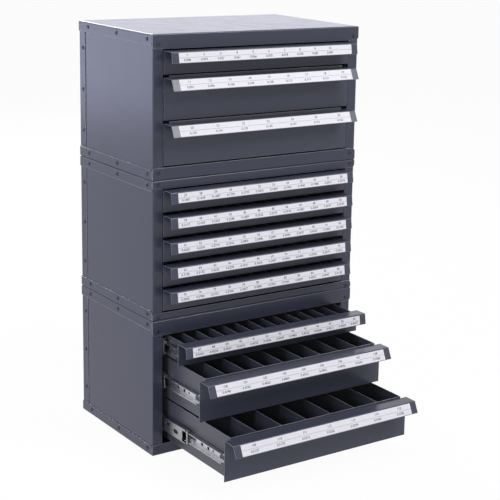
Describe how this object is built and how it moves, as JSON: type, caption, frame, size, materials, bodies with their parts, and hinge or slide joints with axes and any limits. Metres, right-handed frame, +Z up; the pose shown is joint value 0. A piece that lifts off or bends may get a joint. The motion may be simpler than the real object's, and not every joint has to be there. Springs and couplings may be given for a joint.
{
  "type": "drill bit drawer case",
  "caption": "Stack of three steel drawer cases for drill bits: divided drawers on telescopic slides, with full-width folded pulls and numbered strips.",
  "frame": {"origin": "centre of the lowest case's base, where the stack stands, with the middle of its width and of its depth", "axes": "+X to the user's right facing the drawers, +Y to the back, +Z up; the drawers open towards -Y"},
  "size_m": [0.377, 0.4445, 0.6495],
  "materials": {
    "case_paint": "semi-gloss dark blue-grey enamel",
    "drawer_paint": "semi-gloss dark blue-grey enamel",
    "tray_paint": "satin dark blue-grey enamel",
    "zinc": "bright zinc plate, lightly brushed",
    "label_sheet": "satin white strip",
    "label_print": "dark grey print",
    "black_plastic": "matt black"
  },
  "bodies": {
    "root": {"lower_top_pan": "case_paint", "lower_bottom_pan": "case_paint", "lower_sides": "case_paint", "lower_back": "case_paint", "lower_slides": "zinc", "middle_top_pan": "case_paint", "middle_bottom_pan": "case_paint", "middle_sides": "case_paint", "middle_back": "case_paint", "middle_slides": "zinc", "upper_top_pan": "case_paint", "upper_bottom_pan": "case_paint", "upper_sides": "case_paint", "upper_back": "case_paint", "upper_slides": "zinc", "rivets": "case_paint"},
    "lower_3_carriage": {"lower_3_carriages": "zinc"},
    "lower_3_drawer": {"lower_3_front": "drawer_paint", "lower_3_tray": "tray_paint", "lower_3_runners": "zinc"},
    "lower_2_carriage": {"lower_2_carriages": "zinc"},
    "lower_2_drawer": {"lower_2_front": "drawer_paint", "lower_2_tray": "tray_paint", "lower_2_runners": "zinc"},
    "lower_1_carriage": {"lower_1_carriages": "zinc"},
    "lower_1_drawer": {"lower_1_front": "drawer_paint", "lower_1_tray": "tray_paint", "lower_1_runners": "zinc"},
    "middle_5_carriage": {"middle_5_carriages": "zinc"},
    "middle_5_drawer": {"middle_5_front": "drawer_paint", "middle_5_tray": "tray_paint", "middle_5_runners": "zinc"},
    "middle_4_carriage": {"middle_4_carriages": "zinc"},
    "middle_4_drawer": {"middle_4_front": "drawer_paint", "middle_4_tray": "tray_paint", "middle_4_runners": "zinc"},
    "middle_3_carriage": {"middle_3_carriages": "zinc"},
    "middle_3_drawer": {"middle_3_front": "drawer_paint", "middle_3_tray": "tray_paint", "middle_3_runners": "zinc"},
    "middle_2_carriage": {"middle_2_carriages": "zinc"},
    "middle_2_drawer": {"middle_2_front": "drawer_paint", "middle_2_tray": "tray_paint", "middle_2_runners": "zinc"},
    "middle_1_carriage": {"middle_1_carriages": "zinc"},
    "middle_1_drawer": {"middle_1_front": "drawer_paint", "middle_1_tray": "tray_paint", "middle_1_runners": "zinc"},
    "upper_3_carriage": {"upper_3_carriages": "zinc"},
    "upper_3_drawer": {"upper_3_front": "drawer_paint", "upper_3_tray": "tray_paint", "upper_3_runners": "zinc"},
    "upper_2_carriage": {"upper_2_carriages": "zinc"},
    "upper_2_drawer": {"upper_2_front": "drawer_paint", "upper_2_tray": "tray_paint", "upper_2_runners": "zinc"},
    "upper_1_carriage": {"upper_1_carriages": "zinc"},
    "upper_1_drawer": {"upper_1_front": "drawer_paint", "upper_1_tray": "tray_paint", "upper_1_runners": "zinc"}
  },
  "joints": [
    {"name": "lower_3_carriage_slide", "type": "slide", "parent": "root", "child": "lower_3_carriage", "axis": [0, -1, 0], "range_m": [-0.072, 0.023]},
    {"name": "lower_3_drawer_slide", "type": "slide", "parent": "lower_3_carriage", "child": "lower_3_drawer", "axis": [0, -1, 0], "range_m": [-0.106, 0]},
    {"name": "lower_2_carriage_slide", "type": "slide", "parent": "root", "child": "lower_2_carriage", "axis": [0, -1, 0], "range_m": [-0.002, 0.093]},
    {"name": "lower_2_drawer_slide", "type": "slide", "parent": "lower_2_carriage", "child": "lower_2_drawer", "axis": [0, -1, 0], "range_m": [-0.106, 0]},
    {"name": "lower_1_carriage_slide", "type": "slide", "parent": "root", "child": "lower_1_carriage", "axis": [0, -1, 0], "range_m": [0, 0.095]},
    {"name": "lower_1_drawer_slide", "type": "slide", "parent": "lower_1_carriage", "child": "lower_1_drawer", "axis": [0, -1, 0], "range_m": [-0.045, 0.061]},
    {"name": "middle_5_carriage_slide", "type": "slide", "parent": "root", "child": "middle_5_carriage", "axis": [0, -1, 0], "range_m": [0, 0.095]},
    {"name": "middle_5_drawer_slide", "type": "slide", "parent": "middle_5_carriage", "child": "middle_5_drawer", "axis": [0, -1, 0], "range_m": [0, 0.106]},
    {"name": "middle_4_carriage_slide", "type": "slide", "parent": "root", "child": "middle_4_carriage", "axis": [0, -1, 0], "range_m": [0, 0.095]},
    {"name": "middle_4_drawer_slide", "type": "slide", "parent": "middle_4_carriage", "child": "middle_4_drawer", "axis": [0, -1, 0], "range_m": [0, 0.106]},
    {"name": "middle_3_carriage_slide", "type": "slide", "parent": "root", "child": "middle_3_carriage", "axis": [0, -1, 0], "range_m": [0, 0.095]},
    {"name": "middle_3_drawer_slide", "type": "slide", "parent": "middle_3_carriage", "child": "middle_3_drawer", "axis": [0, -1, 0], "range_m": [0, 0.106]},
    {"name": "middle_2_carriage_slide", "type": "slide", "parent": "root", "child": "middle_2_carriage", "axis": [0, -1, 0], "range_m": [0, 0.095]},
    {"name": "middle_2_drawer_slide", "type": "slide", "parent": "middle_2_carriage", "child": "middle_2_drawer", "axis": [0, -1, 0], "range_m": [0, 0.106]},
    {"name": "middle_1_carriage_slide", "type": "slide", "parent": "root", "child": "middle_1_carriage", "axis": [0, -1, 0], "range_m": [0, 0.095]},
    {"name": "middle_1_drawer_slide", "type": "slide", "parent": "middle_1_carriage", "child": "middle_1_drawer", "axis": [0, -1, 0], "range_m": [0, 0.106]},
    {"name": "upper_3_carriage_slide", "type": "slide", "parent": "root", "child": "upper_3_carriage", "axis": [0, -1, 0], "range_m": [0, 0.095]},
    {"name": "upper_3_drawer_slide", "type": "slide", "parent": "upper_3_carriage", "child": "upper_3_drawer", "axis": [0, -1, 0], "range_m": [0, 0.106]},
    {"name": "upper_2_carriage_slide", "type": "slide", "parent": "root", "child": "upper_2_carriage", "axis": [0, -1, 0], "range_m": [0, 0.095]},
    {"name": "upper_2_drawer_slide", "type": "slide", "parent": "upper_2_carriage", "child": "upper_2_drawer", "axis": [0, -1, 0], "range_m": [0, 0.106]},
    {"name": "upper_1_carriage_slide", "type": "slide", "parent": "root", "child": "upper_1_carriage", "axis": [0, -1, 0], "range_m": [0, 0.095]},
    {"name": "upper_1_drawer_slide", "type": "slide", "parent": "upper_1_carriage", "child": "upper_1_drawer", "axis": [0, -1, 0], "range_m": [0, 0.106]}
  ]
}
